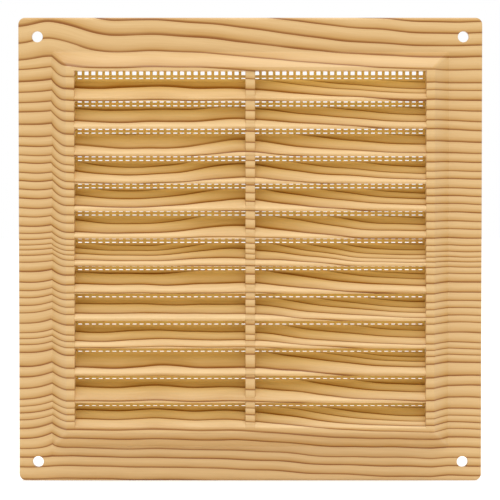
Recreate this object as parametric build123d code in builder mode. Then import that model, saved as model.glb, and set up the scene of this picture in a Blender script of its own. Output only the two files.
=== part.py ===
# Square vent grille: a moulded louvre frame with an insect mesh seated behind it.
#
# The frame is one plastic moulding. Its flat flange lies on the wall and takes four screws. A raised,
# bevelled housing carries the slanted slats and a centre mullion. Its back is hollow: a well wall runs
# round the louvre opening, and its rim is the seat of the mesh, which drops in from behind and is held
# by headed pegs.
#
# Sizes are in millimetres. The wall is the XZ plane, the grille faces -Y and +Z is up. The origin is the
# centre of the wall face, and every height below is measured from the wall towards the room.
from build123d import *
from math import atan2, cos, floor, radians, sin, tan
import os

# Louvre field
louvre_count = 13
louvre_pitch = 10.0
louvre_angle = 45.8  # slope of a slat, rising from its lip to the back
slat_thickness = 1.6
lip_radius = 0.6
lip_setback = 0.15  # lips stand this far behind the housing's front
louvre_drop = 0.45  # the louvre field sits this far below the frame's middle
opening_width = 128.0
opening_rise = 0.2  # the opening sits this far above the middle, so that the lowest lip is the sill
opening_edge_radius = 0.4

# Centre mullion
mullion_width = 3.6
mullion_setback = 0.8  # front of the mullion behind the housing's front
mullion_edge_radius = 0.5

# Housing
housing_depth = 9.0
side_border = 3.0  # flat border between the opening and the bevel, left and right
end_border = 1.6  # the same above and below the opening
bevel_run = 5.8
wall = 1.8
well_wall = 2.0
rib_width = 4.0
crown_corner_radius = 0.8
foot_corner_radius = 1.0
crown_edge_radius = 0.5
foot_blend_radius = 0.4

# Flange
side_margin = 12.2
end_margin = 12.6
flange_thickness = 2.2
flange_corner_radius = 2.5
flange_edge_radius = 1.0
screw_hole_diameter = 4.0
screw_hole_inset = 7.0  # centre of a hole from both edges of the flange
screw_hole_edge_radius = 0.3

# Insect mesh
mesh_seat = 1.8  # height of the seat, and so of the front of the mesh
mesh_thickness = 1.0
mesh_pitch = 2.5
mesh_bar = 1.0
mesh_drop = 0.3  # the rows of holes sit this far below the middle
mesh_corner_radius = 1.0
mesh_clearance = 0.3  # round the mesh in its pocket, and between it and the slats

# Pegs that hold the mesh, one on each rib of the frame's back
peg_spacing = 90.0
peg_diameter = 1.8
peg_clearance = 0.1
peg_head_diameter = 3.2
peg_head_height = 0.6
peg_head_taper = 30.0
peg_root = 1.0  # how far a peg is rooted in its rib

# Sizes that follow
field_height = louvre_count * louvre_pitch
crown_width = opening_width + 2 * side_border
crown_height = field_height + 2 * end_border
foot_width = crown_width + 2 * bevel_run
foot_height = crown_height + 2 * bevel_run
flange_width = foot_width + 2 * side_margin
flange_height = foot_height + 2 * end_margin
screw_span_x = flange_width - 2 * screw_hole_inset
screw_span_z = flange_height - 2 * screw_hole_inset

# The hollow behind the bevel keeps an even wall: the bevel's wall, measured level, sets its outline.
bevel_rise = housing_depth - flange_thickness
bevel_slope = bevel_run / bevel_rise
wall_across = wall / sin(atan2(bevel_rise, bevel_run))
core_height = housing_depth - wall
core_foot_inset = wall_across
core_top_inset = wall_across + bevel_slope * (core_height - flange_thickness)
pocket_width = foot_width - 2 * core_foot_inset
pocket_height = foot_height - 2 * core_foot_inset

# The mesh has as many columns of holes as the opening takes, and one row more, so that its end rows reach
# past the opening. The pegs stand in the middle of its solid rim.
mesh_width = pocket_width - 2 * mesh_clearance
mesh_height = pocket_height - 2 * mesh_clearance
mesh_back = mesh_seat - mesh_thickness
mesh_hole = mesh_pitch - mesh_bar
mesh_columns = floor(opening_width / mesh_pitch)
mesh_rows = floor(field_height / mesh_pitch) + 1
mesh_field_width = mesh_columns * mesh_pitch - mesh_bar
mesh_field_height = mesh_rows * mesh_pitch - mesh_bar
side_pegs = GridLocations((mesh_field_width + mesh_width) / 2, peg_spacing, 2, 2)
end_pegs = GridLocations(peg_spacing, (mesh_field_height + mesh_height) / 2, 2, 2)
peg_places = [*side_pegs, *end_pegs]

# One slat in the YZ plane, with its lip's lower edge at Z = 0: a plate that rises to the back from a
# small round lip, level underneath at the lip, and cut off upright just in front of the mesh.
slope_y = cos(radians(louvre_angle))
slope_z = sin(radians(louvre_angle))
rise = tan(radians(louvre_angle))
lip_y = lip_radius + lip_setback - housing_depth
slat_back_y = -(mesh_seat + mesh_clearance)
face_y = lip_y - lip_radius * slope_z
face_z = lip_radius + lip_radius * slope_y
face_top_z = face_z + (slat_back_y - face_y) * rise
heel_z = face_top_z - slat_thickness / slope_y
keel_y = slat_back_y - heel_z / rise

with BuildSketch(Plane.YZ) as slat_profile:
    with BuildLine():
        Polyline(
            (face_y, face_z),
            (slat_back_y, face_top_z),
            (slat_back_y, heel_z),
            (keel_y, 0),
            (lip_y, 0),
        )
        ThreePointArc(
            (lip_y, 0),
            (lip_y - lip_radius * slope_y, lip_radius - lip_radius * slope_z),
            (face_y, face_z),
        )
    make_face()

# The hollow of the frame's back, as the moulding's core: a straight pocket for the mesh, then a tapered
# channel between the bevel and the well wall, crossed by a rib under each peg.
with BuildPart() as rear_core:
    with BuildSketch(Plane.XZ):
        Rectangle(pocket_width, pocket_height)
    extrude(amount=flange_thickness)
    with BuildSketch(Plane.XZ.offset(flange_thickness)):
        Rectangle(pocket_width, pocket_height)
    with BuildSketch(Plane.XZ.offset(core_height)):
        Rectangle(foot_width - 2 * core_top_inset, foot_height - 2 * core_top_inset)
    loft()
    with BuildSketch(Plane.XZ.offset(mesh_seat)):
        with Locations((0, opening_rise)):
            Rectangle(opening_width + 2 * well_wall, field_height + 2 * well_wall)
        with GridLocations(0, peg_spacing, 1, 2):
            Rectangle(pocket_width, rib_width)
        with GridLocations(peg_spacing, 0, 2, 1):
            Rectangle(rib_width, pocket_height)
    extrude(amount=core_height, mode=Mode.SUBTRACT)

with BuildPart() as louvre_frame:
    # Flange and bevelled housing
    with BuildSketch(Plane.XZ):
        RectangleRounded(flange_width, flange_height, flange_corner_radius)
    extrude(amount=flange_thickness)
    with BuildSketch(Plane.XZ.offset(flange_thickness)):
        RectangleRounded(foot_width, foot_height, foot_corner_radius)
    with BuildSketch(Plane.XZ.offset(housing_depth)):
        RectangleRounded(crown_width, crown_height, crown_corner_radius)
    loft()
    level_faces = louvre_frame.faces().filter_by(Axis.Y).sort_by(Axis.Y)
    crown_face = level_faces[0]
    flange_face = level_faces[1]
    crown_edges = crown_face.outer_wire().edges()
    foot_edges = flange_face.inner_wires()[0].edges()
    rim_edges = flange_face.outer_wire().edges()
    fillet(crown_edges, crown_edge_radius)
    fillet(foot_edges, foot_blend_radius)
    fillet(rim_edges, flange_edge_radius)

    # Screw holes, with a softened front edge
    with BuildSketch(Plane.XZ):
        with GridLocations(screw_span_x, screw_span_z, 2, 2):
            Circle(screw_hole_diameter / 2)
    extrude(amount=flange_thickness, mode=Mode.SUBTRACT)
    hole_rims = louvre_frame.edges().filter_by(GeomType.CIRCLE).filter_by(lambda rim: rim.is_closed)
    fillet(hole_rims.group_by(Axis.Y)[0], screw_hole_edge_radius)

    # Hollow back and louvre opening
    add(rear_core.part, mode=Mode.SUBTRACT)
    with BuildSketch(Plane.XZ):
        with Locations((0, opening_rise)):
            Rectangle(opening_width, field_height)
    extrude(amount=housing_depth, mode=Mode.SUBTRACT)
    front_face = louvre_frame.faces().filter_by(Axis.Y).sort_by(Axis.Y)[0]
    fillet(front_face.inner_wires()[0].edges(), opening_edge_radius)

    # Slats, rooted in the well wall at both ends. The lowest one is the sill.
    with BuildSketch(Plane.YZ):
        with Locations((0, -louvre_drop - louvre_pitch / 2)):
            with GridLocations(0, louvre_pitch, 1, louvre_count):
                add(slat_profile.sketch_local)
    extrude(amount=(opening_width + well_wall) / 2, both=True)

    # Mullion, standing through the slats from the sill to the top of the opening
    mullion_depth = housing_depth - mullion_setback + slat_back_y
    with BuildSketch(Plane.XY.offset(opening_rise)):
        with Locations((0, mullion_setback - housing_depth)):
            Rectangle(mullion_width, mullion_depth, align=(Align.CENTER, Align.MIN))
        fillet(vertices().group_by(Axis.Y)[0], mullion_edge_radius)
    extrude(amount=(field_height + well_wall) / 2, both=True)

    # Pegs, with heads formed over the back of the mesh
    with BuildSketch(Plane.XZ.offset(mesh_back)):
        with Locations(peg_places):
            Circle(peg_diameter / 2)
    extrude(amount=mesh_thickness + peg_root)
    with BuildSketch(Plane.XZ.offset(mesh_back)):
        with Locations(peg_places):
            Circle(peg_head_diameter / 2)
    extrude(amount=-peg_head_height, taper=peg_head_taper)

# The mesh is a flat moulding with a solid rim. Its square holes run together here into upright gaps, two
# to a column, with one rail left across.
mesh_top = mesh_rows * mesh_pitch / 2
rows_above_rail = mesh_rows // 2
rail_level = mesh_top - rows_above_rail * mesh_pitch

with BuildPart() as insect_mesh:
    with BuildSketch(Plane.XZ.offset(mesh_back)):
        RectangleRounded(mesh_width, mesh_height, mesh_corner_radius)
        with Locations((0, (mesh_top + rail_level) / 2 - mesh_drop)):
            with GridLocations(mesh_pitch, 0, mesh_columns, 1):
                Rectangle(mesh_hole, mesh_top - rail_level - mesh_bar, mode=Mode.SUBTRACT)
        with Locations((0, (rail_level - mesh_top) / 2 - mesh_drop)):
            with GridLocations(mesh_pitch, 0, mesh_columns, 1):
                Rectangle(mesh_hole, rail_level + mesh_top - mesh_bar, mode=Mode.SUBTRACT)
        with Locations(peg_places):
            Circle(peg_diameter / 2 + peg_clearance, mode=Mode.SUBTRACT)
    extrude(amount=mesh_thickness)

os.makedirs("parts", exist_ok=True)
louvre_frame.part.label = "louvre_frame"
insect_mesh.part.label = "insect_mesh"
export_step(louvre_frame.part, "parts/louvre_frame.step")
export_step(insect_mesh.part, "parts/insect_mesh.step")
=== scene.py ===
# Looks of a square vent grille: a pine-print louvre frame with an insect net behind it, in a studio.
import logging
import math
from dataclasses import dataclass
from enum import Enum
from typing import Any

import bpy
import numpy as np
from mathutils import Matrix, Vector


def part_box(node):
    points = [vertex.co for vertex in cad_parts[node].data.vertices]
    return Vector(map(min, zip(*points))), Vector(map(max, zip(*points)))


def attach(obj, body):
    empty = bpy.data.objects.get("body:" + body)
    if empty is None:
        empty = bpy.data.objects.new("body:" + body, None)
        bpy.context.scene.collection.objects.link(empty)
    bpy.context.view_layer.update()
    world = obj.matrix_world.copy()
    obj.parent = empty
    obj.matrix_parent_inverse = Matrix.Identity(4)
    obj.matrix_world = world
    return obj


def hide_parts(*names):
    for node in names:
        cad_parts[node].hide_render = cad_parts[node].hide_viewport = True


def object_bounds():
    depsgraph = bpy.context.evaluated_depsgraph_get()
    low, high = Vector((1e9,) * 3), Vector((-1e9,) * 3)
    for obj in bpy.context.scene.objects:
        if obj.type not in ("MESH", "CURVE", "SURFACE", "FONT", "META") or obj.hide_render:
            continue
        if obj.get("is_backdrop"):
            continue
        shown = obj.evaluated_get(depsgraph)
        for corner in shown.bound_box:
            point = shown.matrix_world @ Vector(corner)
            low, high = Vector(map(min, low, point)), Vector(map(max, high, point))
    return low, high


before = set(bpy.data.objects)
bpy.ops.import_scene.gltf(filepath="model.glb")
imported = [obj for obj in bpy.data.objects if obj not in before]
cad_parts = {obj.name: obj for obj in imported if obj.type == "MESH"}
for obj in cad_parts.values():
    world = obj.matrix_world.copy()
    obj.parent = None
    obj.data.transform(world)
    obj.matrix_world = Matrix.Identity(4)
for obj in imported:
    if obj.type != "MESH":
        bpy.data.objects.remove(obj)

MM = 0.001  # metres in a millimetre; every size below is in millimetres
EDGE = 0.05  # how far a pattern reaches past a wall, so that the wall itself is in it
NOISE_SPAN = (0.3, 0.7)  # nearly all the values of a noise texture lie between these
log = logging.getLogger("vent_grille")


def linear(colour: str) -> tuple[float, float, float, float]:
    """Turns an sRGB hex colour into the linear colour that a shader takes.

    Args:
        colour: The colour as "#RRGGBB".

    Returns:
        Linear red, green and blue, and an alpha of 1.
    """
    share = np.array([int(colour[start:start + 2], 16) for start in (1, 3, 5)]) / 255
    light = np.where(share <= 0.04045, share / 12.92, ((share + 0.055) / 1.055) ** 2.4)
    return (*light.tolist(), 1.0)


def add(tree: bpy.types.NodeTree, kind: str, *values: Any, out: int | str = 0, at: dict | None = None,
        **settings: Any) -> bpy.types.NodeSocket:
    """Adds a shader node, sets it and links it.

    Args:
        tree: The node tree that gets the node.
        kind: The node's class, without its ShaderNode prefix.
        values: A value or a socket for each input from the first one on. None leaves an input as it is.
        out: Which output to return, by number or name.
        at: Values or sockets for inputs by name or number.
        settings: The node's own properties.

    Returns:
        The chosen output, or None from an output node.
    """
    node = tree.nodes.new("ShaderNode" + kind)
    for name, value in settings.items():
        setattr(node, name, value)
    wanted = dict(enumerate(values)) | (at or {})
    for place, value in wanted.items():
        if isinstance(value, bpy.types.NodeSocket):
            tree.links.new(value, node.inputs[place])
        elif value is not None:
            node.inputs[place].default_value = value
    return node.outputs[out] if node.outputs else None


def new_material(name: str) -> bpy.types.Material:
    """Makes an empty material with a node tree.

    Args:
        name: The real material's name.

    Returns:
        The material, with no nodes in it.
    """
    material = bpy.data.materials.new(name)
    material.use_nodes = True
    material.node_tree.nodes.clear()
    return material


def showing(tree: bpy.types.NodeTree) -> bpy.types.NodeSocket:
    """Tells the rays that show the background from those that only light the part.

    Args:
        tree: The node tree that asks.

    Returns:
        1 for a ray from the camera, off gloss or through glass, 0 for others.
    """
    seen = add(tree, "LightPath", out="Is Camera Ray")
    for ray in ("Is Glossy Ray", "Is Transmission Ray"):
        seen = add(tree, "Math", seen, add(tree, "LightPath", out=ray), operation="MAXIMUM")
    return seen


class Slot(Enum):
    """The record's material slots."""

    FRAME = "wood_print_plastic"
    NET = "mesh_plastic"


@dataclass(frozen=True)
class OchrePlastic:
    """Polypropylene, moulded and dyed ochre through: a satin skin, and light goes into its thin bars."""

    name: str = "ochre polypropylene"
    colour: str = "#E2C05A"
    cloud_colour: str = "#D3AA47"
    cloud_size: float = 9.0  # width of the pale and dark clouds of the dye
    grit_size: float = 0.25  # grain of the mould's skin
    grit_depth: float = 0.01
    grit_strength: float = 0.3
    glow: float = 0.5  # share of the light that goes into the plastic
    glow_depth: float = 1.2  # how far it travels there
    glow_tint: tuple[float, float, float] = (1.0, 0.7, 0.25)  # the shares of that for red, green, blue
    roughness: float = 0.5
    ior: float = 1.49

    def material(self) -> bpy.types.Material:
        """Builds the material.

        Returns:
            The dyed plastic on Object coordinates.
        """
        material = new_material(self.name)
        tree = material.node_tree
        place = add(tree, "TexCoord", out="Object")
        cloud_scale = 1 / (self.cloud_size * MM)
        cloud = add(tree, "TexNoise", at={"Vector": place, "Scale": cloud_scale, "Detail": 2.0})
        colour = add(tree, "Mix", cloud, at={6: linear(self.cloud_colour), 7: linear(self.colour)},
                     out=2, data_type="RGBA")
        grit_scale = 1 / (self.grit_size * MM)
        grit = add(tree, "TexNoise", at={"Vector": place, "Scale": grit_scale, "Detail": 1.0})
        skin = add(tree, "Bump", at={
            "Strength": self.grit_strength, "Distance": self.grit_depth * MM, "Height": grit})
        shader = add(tree, "BsdfPrincipled", at={
            "Base Color": colour, "Roughness": self.roughness, "IOR": self.ior, "Normal": skin,
            "Subsurface Weight": self.glow, "Subsurface Scale": self.glow_depth * MM,
            "Subsurface Radius": self.glow_tint})
        add(tree, "OutputMaterial", shader)
        return material


@dataclass(frozen=True)
class PinePrint:
    """Pine-grain film on moulded ABS: a satin lacquer over a print of pale wood with thin brown rings.

    The print is a flat pattern of level rings that was drawn over the moulding. A ring's place is v, in
    millimetres up the flat film: the height z, plus the sag of the print at that spot. Rings fall towards
    the right, kink where the film was pulled over the left bevel, and are stretched in the recesses.
    Light is
    painted into the print there: paler slats behind the lips, amber for warm bounce light deep in a
    recess, and straw for backlight at the film's end. On the back, where there is no film, the ochre
    plastic shows.
    """

    name: str = "pine-print ABS"
    pale: str = "#D9B57E"  # early wood, between the rings
    painted_slat_light: str = "#E9C68E"  # early wood painted paler on the slats behind the lips: painted light, for the brighter light the slat faces catch
    tan: str = "#B37E29"  # late wood, which darkens down to a ring
    brown: str = "#824700"  # the ring itself
    bounce_amber: str = "#E9C25F"  # early wood deep in a recess, painted amber: painted warm bounce light between the slats
    bounce_umber: str = "#B58228"  # late wood deep in a recess, painted umber: painted warm bounce light between the slats
    backlight_straw: str = "#FFE08A"  # the film's end at the net, painted pale straw: painted backlight, as if light came through it from behind
    ochre: str = "#EEC468"  # the bare plastic of the back
    ochre_cloud: str = "#DFB256"  # the same where the dye is denser
    cloud_size: float = 14.0
    back_turn: tuple[float, float] = (0.15, 0.3)  # film ends on faces that point back by this much
    roughness: float = 0.3
    ior: float = 1.45
    grit_size: float = 0.3  # grain of the lacquer's skin
    grit_depth: float = 0.01
    grit_strength: float = 0.2

    ring_spacing: float = 4.2
    # Bands of narrow or wide rings: their ends on the film, and how many rings more than evenly spaced
    ring_bands: tuple[tuple[float, float, float], ...] = (
        (70.0, 90.0, -1.2), (5.0, 42.0, 2.2), (-9.0, 9.0, 3.0), (-26.0, -10.0, 1.6), (-38.0, -28.0, 1.3),
        (-66.0, -54.0, 1.5), (-84.0, -66.0, 0.7))
    ring_unevenness: float = 0.35  # how far a ring strays from its place, in rings
    stray_length: float = 9.0
    thinning_length: float = 26.0  # a ring thins and thickens over this length
    own_strength: tuple[float, float] = (0.8, 1.05)  # the faintest and the strongest ring
    thinned_strength: tuple[float, float] = (0.75, 1.05)  # a ring at its thinnest and its thickest
    backlit_ring_strength: float = 0.3  # what is left of the rings at the film's end by the net, where the painted backlight pales them
    fibre_length: float = 14.0
    fibre_width: float = 0.5
    fibre_strength: float = 0.15

    # Up a ring, from 0 at its line to 1 at the next line
    line_edge: tuple[float, float] = (0.07, 0.18)  # where the line starts to fade, and where it is gone
    late_start: float = 0.05  # where late wood starts to pale
    late_reach: tuple[float, float] = (0.7, 0.8)  # where it is gone, at the front and in a recess
    late_fade: float = 1.5  # above 1, it pales fast at first
    trace_start: float = 0.85  # the trace of late wood under the next line
    trace_strength: float = 0.25

    # Down a recess, from 0 at the lips to 1 at the slats' back
    lip_depth: float = 0.03  # behind this, the slats get the painted paler tone
    reach_depth: tuple[float, float] = (0.1, 0.8)  # where late wood's reach grows
    bounce_start: float = 0.3  # from here on the wood is painted amber and umber, a painted warm bounce light
    backlight_start: float = 0.85  # from here on to the film's end at the net, the print is painted paler and straw: painted backlight

    fall: float = 3.8  # how far the rings fall over the right half
    top_fall: float = 9.5  # the same on the top flange
    top_levels: tuple[float, float] = (54.0, 76.0)  # heights from the one fall to the other
    fall_start: tuple[float, float] = (-12.0, -45.0)  # where along x it starts, on louvres and flanges
    flange_levels: tuple[float, float] = (60.0, 76.0)  # how far up or down its start moves
    fall_past: float = 2.0  # it ends this far past the housing's front
    wave_height: float = 1.0  # the long wave that the rings make across the left half
    wave_length: float = 90.0
    wave_crest: float = -43.0  # where along x the wave is highest
    wave_level: float = 18.0  # the wave's own height on the part, and how far up and down it fades away
    wave_reach: float = 42.0
    wave_core: float = 0.3  # the share of that with the full wave
    ripple_height: float = 1.2  # small waves in the grain itself
    ripple_length: float = 28.0
    kink_run: float = 12.0  # the rings start to rise this far before the left bevel
    kink_rise: tuple[float, float] = (0.8, 1.8)  # the left bevel's kink, in the upper and the lower half
    kink_rise_levels: tuple[float, float] = (35.0, -40.0)  # heights from the one to the other
    kink_rise_power: float = 2.5  # above 1, most of the rise comes at its end
    kink_drop: tuple[float, float] = (3.9, 1.8)
    kink_drop_levels: tuple[float, float] = (55.0, -15.0)
    kink_drop_power: float = 2.0  # above 1, most of the drop comes at its start
    kink_stray: float = 0.8  # how far the kink's line wanders
    kink_stray_length: float = 7.0
    bend_rise: float = 1.7  # on the top flange, where the kink is a soft bend
    bend_run: float = 27.0
    bend_lead: float = 4.0  # its drop starts this far before the bevel
    bend_levels: tuple[float, float] = (-8.0, 2.0)  # from kink to bend, measured from the bevel's top
    kink_end_levels: tuple[float, float] = (-4.0, 2.0)  # from none to the kink, from its bottom
    right_step: float = 0.4  # the rings' step up at the right bevel, in the lower half
    step_levels: tuple[float, float] = (20.0, -10.0)  # heights over which the step grows
    recess_pull: float = 2.4  # how many times steeper the rings fall at the back of a recess
    recess_stretch: float = 1.5  # how much less film than height there is from a lip to the back

    def material(self, shape: "LouvreFrame") -> bpy.types.Material:
        """Builds the material.

        Args:
            shape: The frame that the film was drawn over.

        Returns:
            The printed film on Object coordinates.
        """
        material = new_material(self.name)
        tree = material.node_tree
        place = add(tree, "TexCoord", out="Object")
        spot = add(tree, "VectorMath", place, at={"Scale": 1 / MM}, operation="SCALE")
        recess = self.recess(tree, spot, shape)
        film = self.film_height(tree, spot, recess, shape)
        colour = self.print_colour(tree, spot, film, recess, shape)
        facing = add(tree, "SeparateXYZ", add(tree, "NewGeometry", out="Normal"), out="Y")
        back = add(tree, "MapRange", facing, *self.back_turn, 0.0, 1.0)
        cloud_scale = 1 / (self.cloud_size * MM)
        cloud = add(tree, "TexNoise", at={"Vector": place, "Scale": cloud_scale, "Detail": 2.0})
        bare = add(tree, "Mix", cloud, at={6: linear(self.ochre_cloud), 7: linear(self.ochre)},
                   out=2, data_type="RGBA")
        colour = add(tree, "Mix", back, at={6: colour, 7: bare}, out=2, data_type="RGBA")
        grit_scale = 1 / (self.grit_size * MM)
        grit = add(tree, "TexNoise", at={"Vector": place, "Scale": grit_scale, "Detail": 1.0})
        skin = add(tree, "Bump", at={
            "Strength": self.grit_strength, "Distance": self.grit_depth * MM, "Height": grit})
        shader = add(tree, "BsdfPrincipled", at={
            "Base Color": colour, "Roughness": self.roughness, "IOR": self.ior, "Normal": skin})
        add(tree, "OutputMaterial", shader)
        return material

    def recess(self, tree: bpy.types.NodeTree, spot: bpy.types.NodeSocket,
               shape: "LouvreFrame") -> bpy.types.NodeSocket:
        """How deep a spot lies in the louvre opening: 0 at the lips and outside it, 1 at the slats' back.

        Args:
            tree: The material's nodes.
            spot: Object coordinates in millimetres.
            shape: The frame.

        Returns:
            The share of the depth.
        """
        x, y, z = (add(tree, "SeparateXYZ", spot, out=axis) for axis in "XYZ")
        across = add(tree, "Math", x, operation="ABSOLUTE")
        inside = add(tree, "Math", across, shape.opening_width / 2 + EDGE, operation="LESS_THAN")
        middle = add(tree, "Math", z, shape.opening_rise, operation="SUBTRACT")
        up = add(tree, "Math", middle, operation="ABSOLUTE")
        between = add(tree, "Math", up, shape.opening_height / 2 + EDGE, operation="LESS_THAN")
        depth = add(tree, "MapRange", y, -shape.housing_depth, -shape.slat_back, 0.0, 1.0)
        framed = add(tree, "Math", inside, between, operation="MULTIPLY")
        return add(tree, "Math", framed, depth, operation="MULTIPLY")

    def kink(self, tree: bpy.types.NodeTree, x: bpy.types.NodeSocket, z: bpy.types.NodeSocket,
             shape: "LouvreFrame") -> bpy.types.NodeSocket:
        """Works out the kink at the left bevel: a rise up to its foot, then a drop down to the border.

        On the top flange, above the bevel, the same rise and drop make one soft bend. On the bottom
        flange there is none. The housing is so nearly square that its width serves for its height too.

        Args:
            tree: The material's nodes.
            x: The spot's place across.
            z: The spot's height.
            shape: The frame.

        Returns:
            How far the rings are drawn down.
        """
        foot = shape.foot_width / 2
        crown = shape.crown_width / 2
        turn = add(tree, "Math", z, self.kink_stray_length, operation="DIVIDE")
        stray = add(tree, "TexNoise", at={"W": turn, "Scale": 1.0, "Detail": 0.0}, noise_dimensions="1D")
        stray = add(tree, "MapRange", stray, 0.0, 1.0, -self.kink_stray, self.kink_stray)
        across = add(tree, "Math", x, stray, operation="ADD")
        most = add(tree, "MapRange", z, *self.kink_rise_levels, *self.kink_rise)
        rise = add(tree, "MapRange", across, -foot - self.kink_run, -foot, 0.0, 1.0)
        rise = add(tree, "Math", rise, self.kink_rise_power, operation="POWER")
        rise = add(tree, "Math", rise, most, operation="MULTIPLY")
        left = add(tree, "MapRange", across, -foot, -crown, 1.0, 0.0)
        left = add(tree, "Math", left, self.kink_drop_power, operation="POWER")
        most = add(tree, "MapRange", z, *self.kink_drop_levels, *self.kink_drop,
                   interpolation_type="SMOOTHSTEP")
        drop = add(tree, "MapRange", left, 1.0, 0.0, 0.0, most)
        sharp = add(tree, "Math", drop, rise, operation="SUBTRACT")

        bend_drop = self.kink_drop[0] - self.kink_rise[0] + self.bend_rise
        rise = add(tree, "MapRange", x, -foot - self.kink_run, -foot, 0.0, self.bend_rise,
                   interpolation_type="SMOOTHSTEP")
        bend_start = -foot - self.bend_lead
        drop = add(tree, "MapRange", x, bend_start, bend_start + self.bend_run, 0.0, bend_drop,
                   interpolation_type="SMOOTHSTEP")
        soft = add(tree, "Math", drop, rise, operation="SUBTRACT")
        above = add(tree, "MapRange", z, *(foot + level for level in self.bend_levels), 0.0, 1.0)
        kink = add(tree, "Mix", above, at={2: sharp, 3: soft})
        bevelled = add(tree, "MapRange", z, *(level - foot for level in self.kink_end_levels), 0.0, 1.0)
        return add(tree, "Math", kink, bevelled, operation="MULTIPLY")

    def film_height(self, tree: bpy.types.NodeTree, spot: bpy.types.NodeSocket,
                    recess: bpy.types.NodeSocket, shape: "LouvreFrame") -> bpy.types.NodeSocket:
        """Works out v, the place on the flat film that lies on a spot.

        Args:
            tree: The material's nodes.
            spot: Object coordinates in millimetres.
            recess: How deep the spot lies in the opening.
            shape: The frame.

        Returns:
            The film's height in millimetres.
        """
        x, z = (add(tree, "SeparateXYZ", spot, out=axis) for axis in "XZ")
        foot = shape.foot_width / 2
        crown = shape.crown_width / 2

        # The fall over the right half and the wave across the left one, both steeper in the recesses
        most = add(tree, "MapRange", z, *self.top_levels, self.fall, self.top_fall)
        height = add(tree, "Math", z, operation="ABSOLUTE")
        start = add(tree, "MapRange", height, *self.flange_levels, *self.fall_start)
        fall = add(tree, "MapRange", x, start, crown + self.fall_past, 0.0, most,
                   interpolation_type="SMOOTHSTEP")
        turn = 2 * math.pi / self.wave_length
        wave = add(tree, "Math", x, self.wave_length / 2 + self.wave_crest, operation="MINIMUM")
        wave = add(tree, "Math", wave, turn, -self.wave_crest * turn, operation="MULTIPLY_ADD")
        wave = add(tree, "Math", wave, operation="COSINE")
        level = add(tree, "Math", z, self.wave_level, operation="SUBTRACT")
        level = add(tree, "Math", level, operation="ABSOLUTE")
        core = self.wave_core * self.wave_reach
        swing = add(tree, "MapRange", level, core, self.wave_reach, self.wave_height, 0.0)
        wave = add(tree, "Math", wave, swing, operation="MULTIPLY")
        slope = add(tree, "Math", fall, wave, operation="ADD")
        pull = add(tree, "MapRange", recess, 0.0, 1.0, 1.0, self.recess_pull)
        slope = add(tree, "Math", slope, pull, operation="MULTIPLY")
        stretch = add(tree, "Math", recess, -self.recess_stretch, operation="MULTIPLY")

        step = add(tree, "MapRange", x, crown, foot, 0.0, -self.right_step)
        low = add(tree, "MapRange", z, *self.step_levels, 0.0, 1.0)
        step = add(tree, "Math", step, low, operation="MULTIPLY")
        ripple_scale = 1 / self.ripple_length
        ripple = add(tree, "TexNoise", at={"Vector": spot, "Scale": ripple_scale, "Detail": 1.0})
        ripple = add(tree, "MapRange", ripple, 0.0, 1.0, -self.ripple_height, self.ripple_height)
        film = z
        for part in (self.kink(tree, x, z, shape), slope, stretch, step, ripple):
            film = add(tree, "Math", film, part, operation="ADD")
        return film

    def print_colour(self, tree: bpy.types.NodeTree, spot: bpy.types.NodeSocket,
                     film: bpy.types.NodeSocket, recess: bpy.types.NodeSocket,
                     shape: "LouvreFrame") -> bpy.types.NodeSocket:
        """Paints the rings: a thin brown line, and above it late wood that pales to early wood.

        The count of rings up to a spot is v over the spacing, plus a smooth step for each band. Its
        whole part names the ring and its fraction is the place between two rings, 0 at the lower one.

        Args:
            tree: The material's nodes.
            spot: Object coordinates in millimetres.
            film: The film's height in millimetres.
            recess: How deep the spot lies in the opening.
            shape: The frame.

        Returns:
            The colour of the print.
        """
        x = add(tree, "SeparateXYZ", spot, out="X")
        rings = add(tree, "Math", film, self.ring_spacing, operation="DIVIDE")
        for low, high, more in self.ring_bands:
            band = add(tree, "MapRange", film, low, high, 0.0, more, interpolation_type="SMOOTHSTEP")
            rings = add(tree, "Math", rings, band, operation="ADD")
        turn = add(tree, "Math", film, self.stray_length, operation="DIVIDE")
        stray = add(tree, "TexNoise", at={"W": turn, "Scale": 1.0, "Detail": 1.0}, noise_dimensions="1D")
        stray = add(tree, "MapRange", stray, 0.0, 1.0, -self.ring_unevenness, self.ring_unevenness)
        rings = add(tree, "Math", rings, stray, operation="ADD")
        between = add(tree, "Math", rings, operation="FRACT")
        number = add(tree, "Math", rings, operation="FLOOR")

        # Each ring has its own strength, thins and thickens along x, and is faint at the film's end,
        # where painted backlight pales it
        own = add(tree, "TexWhiteNoise", at={"W": number}, noise_dimensions="1D")
        length = add(tree, "Math", x, self.thinning_length, operation="DIVIDE")
        along = add(tree, "CombineXYZ", length, number)
        along = add(tree, "TexNoise", at={"Vector": along, "Scale": 1.0, "Detail": 2.0})
        strength = add(tree, "MapRange", own, 0.0, 1.0, *self.own_strength)
        thinned = add(tree, "MapRange", along, *NOISE_SPAN, *self.thinned_strength)
        strength = add(tree, "Math", strength, thinned, operation="MULTIPLY")
        # Painted backlight: towards the film's end at the net the rings fade and early wood turns straw
        backlight_share = add(tree, "MapRange", recess, self.backlight_start, 1.0, 0.0, 1.0)
        faded = add(tree, "MapRange", backlight_share, 0.0, 1.0, 1.0, self.backlit_ring_strength)
        strength = add(tree, "Math", strength, faded, operation="MULTIPLY")

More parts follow.
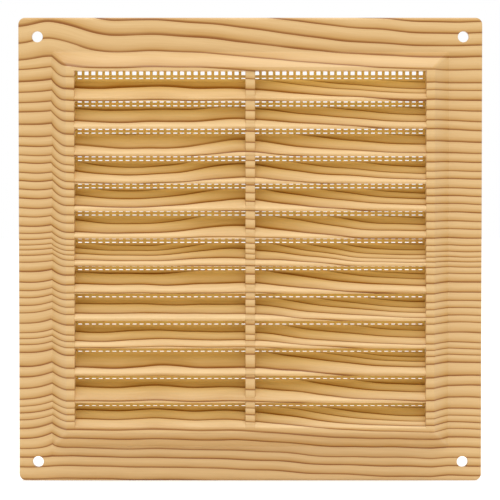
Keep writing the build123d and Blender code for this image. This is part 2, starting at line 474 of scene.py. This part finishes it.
        # The line, late wood above it that reaches further in a recess, and a trace under the next line
        line = add(tree, "MapRange", between, *self.line_edge, 1.0, 0.0)
        line = add(tree, "Math", line, strength, operation="MULTIPLY")
        reach = add(tree, "MapRange", recess, *self.reach_depth, *self.late_reach)
        late = add(tree, "MapRange", between, self.late_start, reach, 1.0, 0.0)
        late = add(tree, "Math", late, self.late_fade, operation="POWER")
        trace = add(tree, "MapRange", between, self.trace_start, 1.0, 0.0, self.trace_strength)
        late = add(tree, "Math", late, trace, operation="ADD")
        late = add(tree, "Math", late, strength, operation="MULTIPLY")

        # Fibres: fine streaks along the grain
        length = add(tree, "Math", x, self.fibre_length, operation="DIVIDE")
        width = add(tree, "Math", film, self.fibre_width, operation="DIVIDE")
        fibre = add(tree, "CombineXYZ", length, width)
        fibre = add(tree, "TexNoise", at={"Vector": fibre, "Scale": 1.0, "Detail": 2.0})
        fibre = add(tree, "MapRange", fibre, *NOISE_SPAN, 0.0, self.fibre_strength)
        late = add(tree, "Math", late, fibre, operation="ADD")

        # Painted light in early wood: paler on the slats behind the lips, amber for warm bounce light in
        # the recesses, straw for backlight at the film's end
        # Painted light: early wood on the slat faces behind the lips, but not on the mullion, is painted
        # paler
        slat_light_share = add(tree, "MapRange", recess, 0.0, self.lip_depth, 0.0, 1.0)
        across = add(tree, "Math", x, operation="ABSOLUTE")
        beside = add(tree, "Math", across, shape.mullion_width / 2 + EDGE, operation="GREATER_THAN")
        slat_light_share = add(tree, "Math", slat_light_share, beside, operation="MULTIPLY")
        # Painted bounce light: the wood turns amber and umber deeper in the recess
        bounce_share = add(tree, "MapRange", recess, self.bounce_start, 1.0, 0.0, 1.0)
        early_wood = linear(self.pale)
        for share, tone in ((slat_light_share, self.painted_slat_light), (bounce_share, self.bounce_amber), (backlight_share, self.backlight_straw)):
            early_wood = add(tree, "Mix", share, at={6: early_wood, 7: linear(tone)}, out=2,
                             data_type="RGBA")
        late_wood = add(tree, "Mix", bounce_share, at={6: linear(self.tan), 7: linear(self.bounce_umber)}, out=2,
                        data_type="RGBA")
        wood = add(tree, "Mix", late, at={6: early_wood, 7: late_wood}, out=2, data_type="RGBA")
        return add(tree, "Mix", line, at={6: wood, 7: linear(self.brown)}, out=2, data_type="RGBA")


@dataclass
class LouvreFrame:
    """The moulded frame: flange, bevelled housing, slats and mullion in one piece, under a printed film.

    The film shows as a thickness only at its edges on the slats: a rolled hem hangs under each lip, and
    the film runs on past each slat's back edge, nearly to the net.
    """

    node: str = "louvre_frame"
    opening_width: float = 128.0
    opening_height: float = 130.0
    opening_rise: float = 0.2
    mullion_width: float = 3.6
    crown_width: float = 134.0
    foot_width: float = 145.6
    housing_depth: float = 9.0
    slat_count: int = 13
    slat_pitch: float = 10.0
    slat_drop: float = 0.45
    slat_angle: float = 45.8
    slat_back: float = 2.1
    lip_radius: float = 0.6
    lip_setback: float = 0.15
    film_thickness: float = 0.16
    film_overrun: float = 0.25  # past a slat's back edge; the net is 0.3 away
    hem_depth: float = 0.42  # the rolled hem that hangs under a lip
    hem_width: float = 0.8
    hem_steps: int = 12
    finish: PinePrint = PinePrint()

    def strips(self, profile: np.ndarray, levels: np.ndarray) -> tuple[np.ndarray, list[list[int]]]:
        """Carries a closed profile along x, left and right of the mullion, once for each level.

        Args:
            profile: Points in y and z, anticlockwise seen from the right.
            levels: The heights that are added to z, one for each slat.

        Returns:
            The strips' points, and their faces as loops of point numbers.
        """
        size = len(profile)
        inner, outer = self.mullion_width / 2, self.opening_width / 2
        ends = np.array(((-outer, -inner), (inner, outer)))
        points = np.zeros((len(levels), 2, 2, size, 3))
        points[..., 0] = ends[None, :, :, None]
        points[..., 1:] = profile
        points[..., 2] += levels[:, None, None, None]
        ring = np.arange(size)
        following = np.roll(ring, -1)
        starts = np.arange(2 * len(levels))[:, None, None] * 2 * size
        sides = starts + np.stack((ring, following, following + size, ring + size), axis=-1)
        caps = starts + np.stack((ring[::-1], ring + size))
        return points.reshape(-1, 3), [*sides.reshape(-1, 4).tolist(), *caps.reshape(-1, size).tolist()]

    def hem(self, film: bpy.types.Material) -> bpy.types.Object:
        """Builds the film's edges on the slats, as two profiles carried along x.

        Under a lip it is an ellipse along the lip's flat, half of it in the slat. At a slat's back it is
        a parallelogram that goes on in line with the slat.

        Args:
            film: The printed film.

        Returns:
            The edges' object.
        """
        lip_y = self.lip_radius + self.lip_setback - self.housing_depth
        slope = math.radians(self.slat_angle)
        angle = np.linspace(0, 2 * math.pi, self.hem_steps, endpoint=False)
        tuck_y = lip_y + self.hem_width / 2 * (1 + np.cos(angle))
        tuck = np.stack((tuck_y, self.hem_depth * np.sin(angle)), axis=-1)
        face_front = self.lip_setback + self.lip_radius * (1 - math.sin(slope))
        run = self.housing_depth - self.slat_back - face_front
        back_z = self.lip_radius * (1 + math.cos(slope)) + run * math.tan(slope)
        near = np.array((-self.slat_back, back_z))
        far = near + self.film_overrun * np.array((1.0, math.tan(slope)))
        under = np.array((0.0, self.film_thickness / math.cos(slope)))
        overrun = np.stack((near - under, far - under, far, near))

        middle = -self.slat_drop - self.slat_pitch / 2
        levels = middle + (np.arange(self.slat_count) - (self.slat_count - 1) / 2) * self.slat_pitch
        above_sill = levels[1:]
        points, faces = self.strips(overrun, levels)
        more_points, more_faces = self.strips(tuck, above_sill)
        faces += [[number + len(points) for number in face] for face in more_faces]
        mesh = bpy.data.meshes.new("film_hem")
        mesh.from_pydata(np.concatenate((points, more_points)) * MM, [], faces)
        mesh.validate()
        piece = bpy.data.objects.new("film_hem", mesh)
        bpy.context.scene.collection.objects.link(piece)
        piece.data.materials.append(film)
        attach(piece, "root")
        return piece

    def build(self) -> list[bpy.types.Object]:
        """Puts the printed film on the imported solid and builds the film's edges.

        Returns:
            The frame's object and the edges' one.
        """
        film = self.finish.material(self)
        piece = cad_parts[self.node]
        piece.data.materials.clear()
        piece.data.materials.append(film)
        return [piece, self.hem(film)]


@dataclass
class Sheet:
    """A flat drawing of a plate in x and z, seen from the front.

    A face is a loop of point numbers that runs anticlockwise. An edge is a pair of numbers with the solid
    on its left, where a wall stands between the front and the back.
    """

    points: np.ndarray
    faces: list[np.ndarray]
    edges: list[np.ndarray]

    def join(self, points: np.ndarray) -> np.ndarray:
        """Adds points to the drawing.

        Args:
            points: The new points, one row each.

        Returns:
            Their numbers.
        """
        numbers = len(self.points) + np.arange(len(points))
        self.points = np.concatenate((self.points, points))
        return numbers

    def mesh(self, name: str, front: float, back: float) -> bpy.types.Mesh:
        """Gives the plate its thickness: the drawing at the front, the same at the back, and the walls.

        Args:
            name: The mesh's name.
            front: Where the front lies along Y.
            back: Where the back lies along Y.

        Returns:
            The closed mesh.
        """
        count = len(self.points)
        points = np.concatenate([np.insert(self.points, 1, level, axis=1) for level in (front, back)])
        start, stop = np.concatenate(self.edges).T
        walls = np.stack((stop, start, start + count, stop + count), axis=-1)
        faces = [*self.faces, *(face[::-1] + count for face in self.faces), *walls]
        used, numbers = np.unique(np.concatenate(faces), return_inverse=True)
        ends = np.cumsum([len(face) for face in faces])[:-1]
        mesh = bpy.data.meshes.new(name)
        mesh.from_pydata(points[used] * MM, [], [loop.tolist() for loop in np.split(numbers, ends)])
        mesh.validate()
        return mesh


@dataclass
class InsectNet:
    """The moulded net: a flat plate of square holes in rows, and a solid rim that the pegs go through."""

    node: str = "insect_mesh"
    pitch: float = 2.5
    row_pitch: float = 2.5055  # the rows are a little further apart than the columns
    bar: float = 1.0
    drop: float = 0.4  # the rows of holes sit this far below the middle
    columns: int = 51
    rows: int = 53
    corner_radius: float = 1.0
    corner_steps: int = 6
    peg_spacing: float = 90.0
    peg_hole_radius: float = 1.0
    peg_hole_steps: int = 24
    finish: OchrePlastic = OchrePlastic()

    def lines(self, count: int, pitch: float, middle: float, low: float, high: float) -> np.ndarray:
        """Grid lines across the plate: its two sides, and both sides of every hole, one pitch apart.

        Args:
            count: How many holes there are in a row.
            pitch: From one hole to the next.
            middle: The middle of the row.
            low: The plate's lower side.
            high: The plate's upper side.

        Returns:
            The lines in rising order.
        """
        centres = middle + (np.arange(count) - (count - 1) / 2) * pitch
        half_hole = (pitch - self.bar) / 2
        sides = np.sort(np.concatenate((centres - half_hole, centres + half_hole)))
        return np.concatenate(([low], sides, [high]))

    def draw_cells(self, x: np.ndarray, z: np.ndarray, plain: np.ndarray) -> Sheet:
        """Draws the grid: every second cell in both directions is a hole, with walls round it.

        Args:
            x: Grid lines across.
            z: Grid lines up.
            plain: Which cells are whole squares; the corners and the cells round the pegs aren't.

        Returns:
            The drawing, without the corners' outer edges.
        """
        point = np.arange(x.size * z.size).reshape(x.size, z.size)
        solid = np.ones_like(plain)
        solid[1:-1:2, 1:-1:2] = False
        i, j = np.nonzero(solid & plain)
        squares = np.stack((point[i, j], point[i + 1, j], point[i + 1, j + 1], point[i, j + 1]), axis=-1)
        around = np.pad(solid, 1).astype(int)
        edges = []
        for steps, (right, up) in ((np.diff(around, axis=0)[:, 1:-1], (0, 1)),
                                   (-np.diff(around, axis=1)[1:-1], (1, 0))):
            steps[np.ix_((0, -1), (0, -1))] = 0
            for turn in (1, -1):
                i, j = np.nonzero(steps == -turn)
                edges.append(np.stack((point[i, j], point[i + right, j + up]), axis=-1)[:, ::turn])
        grid = np.stack(np.meshgrid(x, z, indexing="ij"), axis=-1).reshape(-1, 2)
        return Sheet(grid, list(squares), edges)

    def round_corner(self, sheet: Sheet, point: np.ndarray, turn: int) -> None:
        """Rounds a corner of the plate: the cell's inner point, then round the arc from side to side.

        Args:
            sheet: The drawing.
            point: The grid's point numbers, turned so that the corner is the upper right one.
            turn: How many quarter turns the corner lies from the upper right one.
        """
        angle = np.linspace(0, math.pi / 2, self.corner_steps + 1) + turn * math.pi / 2
        diagonal = math.pi / 4 + turn * math.pi / 2
        outward = np.round(np.array((math.cos(diagonal), math.sin(diagonal))) * math.sqrt(2))
        centre = sheet.points[point[-1, -1]] - outward * self.corner_radius
        arc = sheet.join(centre + self.corner_radius * np.stack((np.cos(angle), np.sin(angle)), axis=-1))
        rim = np.concatenate(([point[-1, -2]], arc, [point[-2, -1]]))
        sheet.faces.append(np.append(rim, point[-2, -2]))
        sheet.edges.append(np.stack((rim[:-1], rim[1:]), axis=-1))

    def pierce(self, sheet: Sheet, block: np.ndarray, centre: np.ndarray) -> None:
        """Makes a round hole in a block of cells: a ring of points that two faces join to its edge.

        Args:
            sheet: The drawing.
            block: The point numbers of the block's cells.
            centre: The middle of the hole.
        """
        angle = np.arange(self.peg_hole_steps) * 2 * math.pi / self.peg_hole_steps
        outward = np.stack((np.cos(angle), np.sin(angle)), axis=-1)
        ring = sheet.join(centre + self.peg_hole_radius * outward)
        edge = np.concatenate((block[:-1, 0], block[-1, :-1], block[:0:-1, -1], block[0, :0:-1]))
        away = sheet.points[edge] - centre
        bearing = np.arctan2(away[:, 1], away[:, 0])
        nearest = np.abs(np.angle(np.exp(1j * (bearing[:, None] - angle)))).argmin(axis=1)
        half = edge.size // 2
        for start in (0, half):
            outer = np.arange(start, start + half + 1) % edge.size
            first, last = nearest[outer[0]], nearest[outer[-1]]
            inner = (last - np.arange((last - first) % ring.size + 1)) % ring.size
            sheet.faces.append(np.concatenate((edge[outer], ring[inner])))
        sheet.edges.append(np.stack((np.roll(ring, -1), ring), axis=-1))

    def build(self) -> bpy.types.Object:
        """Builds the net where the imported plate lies.

        Returns:
            The net's object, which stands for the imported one.
        """
        low, high = (np.array(corner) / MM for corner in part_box(self.node))
        x = self.lines(self.columns, self.pitch, 0.0, low[0], high[0])
        z = self.lines(self.rows, self.row_pitch, -self.drop, low[2], high[2])
        point = np.arange(x.size * z.size).reshape(x.size, z.size)
        plain = np.ones((x.size - 1, z.size - 1), bool)
        plain[np.ix_((0, -1), (0, -1))] = False

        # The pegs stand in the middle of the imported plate's rim, each in a block of three cells
        rim_x = (self.columns * self.pitch - self.bar + high[0] - low[0]) / 4
        rim_z = (self.rows * self.pitch - self.bar + high[2] - low[2]) / 4
        half = self.peg_spacing / 2
        places = [(side * rim_x, level * half) for side in (-1, 1) for level in (-1, 1)]
        places += [(side * half, level * rim_z) for side in (-1, 1) for level in (-1, 1)]
        blocks = []
        for place_x, place_z in places:
            column = np.searchsorted(x, place_x) - 1
            row = np.searchsorted(z, place_z) - 1
            wide, tall = (0, 1) if column in (0, x.size - 2) else (1, 0)
            plain[column - wide:column + wide + 1, row - tall:row + tall + 1] = False
            blocks.append(point[column - wide:column + wide + 2, row - tall:row + tall + 2])

        sheet = self.draw_cells(x, z, plain)
        for turn in range(4):
            self.round_corner(sheet, np.rot90(point, turn), turn)
        for block, place in zip(blocks, places):
            self.pierce(sheet, block, np.array(place))
        piece = bpy.data.objects.new("insect_net", sheet.mesh("insect_net", low[1], high[1]))
        bpy.context.scene.collection.objects.link(piece)
        piece.data.materials.append(self.finish.material())
        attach(piece, "root")
        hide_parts(self.node)
        return piece


@dataclass(frozen=True)
class Softbox:
    """A square lamp with a soft front."""

    name: str
    place: tuple[float, float, float]
    aim: tuple[float, float, float]
    size: float
    power: float  # watts

    def light(self) -> bpy.types.Object:
        """Sets the lamp up.

        Returns:
            The lamp's object.
        """
        lamp = bpy.data.lights.new(self.name, "AREA")
        lamp.shape = "SQUARE"
        lamp.size = self.size * MM
        lamp.energy = self.power
        holder = bpy.data.objects.new(self.name, lamp)
        holder.location = Vector(self.place) * MM
        aim = (Vector(self.aim) - Vector(self.place)).normalized()
        holder.rotation_euler = aim.to_track_quat("-Z", "Y").to_euler()
        bpy.context.scene.collection.objects.link(holder)
        return holder


@dataclass
class Studio:
    """A white studio: an even surround, a pale floor, softboxes overhead and in front, and a camera."""

    ambient: float = 0.93  # light of the surround, where 1 is white
    floor_size: float = 8000.0
    floor_colour: str = "#FAFAFA"
    floor_glow: float = 0.35
    eye_distance: float = 800.0
    eye_height: float = 21.5
    aim_right: float = -0.1
    aim_up: float = -0.15
    view_width: float = 183.4  # what the picture takes in at the front of the flange
    flange_front: float = 2.2
    sensor: float = 36.0
    softboxes: tuple[Softbox, ...] = (
        Softbox("overhead_softbox", (0.0, -40.0, 1800.0), (0.0, 0.0, 0.0), 840.0, 6.4),
        Softbox("front_softbox", (0.0, -1200.0, 1580.0), (0.0, 0.0, 0.0), 1200.0, 8.5))

    def surround(self) -> None:
        """Fills the world with even light that looks white to the camera, in gloss and through glass."""
        world = bpy.data.worlds.new("white_surround")
        world.use_nodes = True
        tree = world.node_tree
        tree.nodes.clear()
        strength = add(tree, "MapRange", showing(tree), 0.0, 1.0, self.ambient, 1.0)
        light = add(tree, "Background", (1.0, 1.0, 1.0, 1.0), strength)
        add(tree, "OutputWorld", light)
        bpy.context.scene.world = world

    def floor(self) -> bpy.types.Object:
        """Lays a pale floor under the part, open to view from below.

        Returns:
            The floor's object.
        """
        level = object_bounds()[0][2]
        half = self.floor_size * MM / 2
        outline = [(-half, -half, level), (half, -half, level), (half, half, level), (-half, half, level)]
        mesh = bpy.data.meshes.new("studio_floor")
        mesh.from_pydata(outline, [], [(0, 1, 2, 3)])
        material = new_material("matt white paper")
        tree = material.node_tree
        paper = add(tree, "BsdfDiffuse", linear(self.floor_colour))
        glow = add(tree, "Math", showing(tree), self.floor_glow, operation="MULTIPLY")
        glow = add(tree, "Emission", (1.0, 1.0, 1.0, 1.0), glow)
        lit = add(tree, "AddShader", paper, glow)
        below = add(tree, "NewGeometry", out="Backfacing")
        clear = add(tree, "BsdfTransparent")
        add(tree, "OutputMaterial", add(tree, "MixShader", below, lit, clear))
        piece = bpy.data.objects.new("studio_floor", mesh)
        piece.data.materials.append(material)
        bpy.context.scene.collection.objects.link(piece)
        piece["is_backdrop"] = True
        return piece

    def camera(self) -> bpy.types.Object:
        """Places the camera in front of the grille, a little above its middle.

        Returns:
            The camera's object.
        """
        lens = bpy.data.cameras.new("studio_camera")
        lens.sensor_width = self.sensor
        lens.lens = self.sensor * (self.eye_distance - self.flange_front) / self.view_width
        holder = bpy.data.objects.new("studio_camera", lens)
        holder.location = Vector((0.0, -self.eye_distance, self.eye_height)) * MM
        aim = Vector((self.aim_right, 0.0, self.aim_up)) * MM - holder.location
        holder.rotation_euler = aim.to_track_quat("-Z", "Y").to_euler()
        bpy.context.scene.collection.objects.link(holder)
        bpy.context.scene.camera = holder
        return holder

    def build(self) -> None:
        """Sets up the surround, the floor, the lamps and the camera."""
        bpy.context.scene.view_settings.view_transform = "Standard"
        self.surround()
        self.floor()
        for softbox in self.softboxes:
            softbox.light()
        self.camera()


def main() -> None:
    """Dresses the frame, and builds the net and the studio."""
    logging.basicConfig(level=logging.INFO, format="%(message)s")
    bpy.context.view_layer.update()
    for piece in (*LouvreFrame().build(), InsectNet().build()):
        log.info("%s: %d faces", piece.name, len(piece.data.polygons))
    Studio().build()


if __name__ == "__main__":
    main()
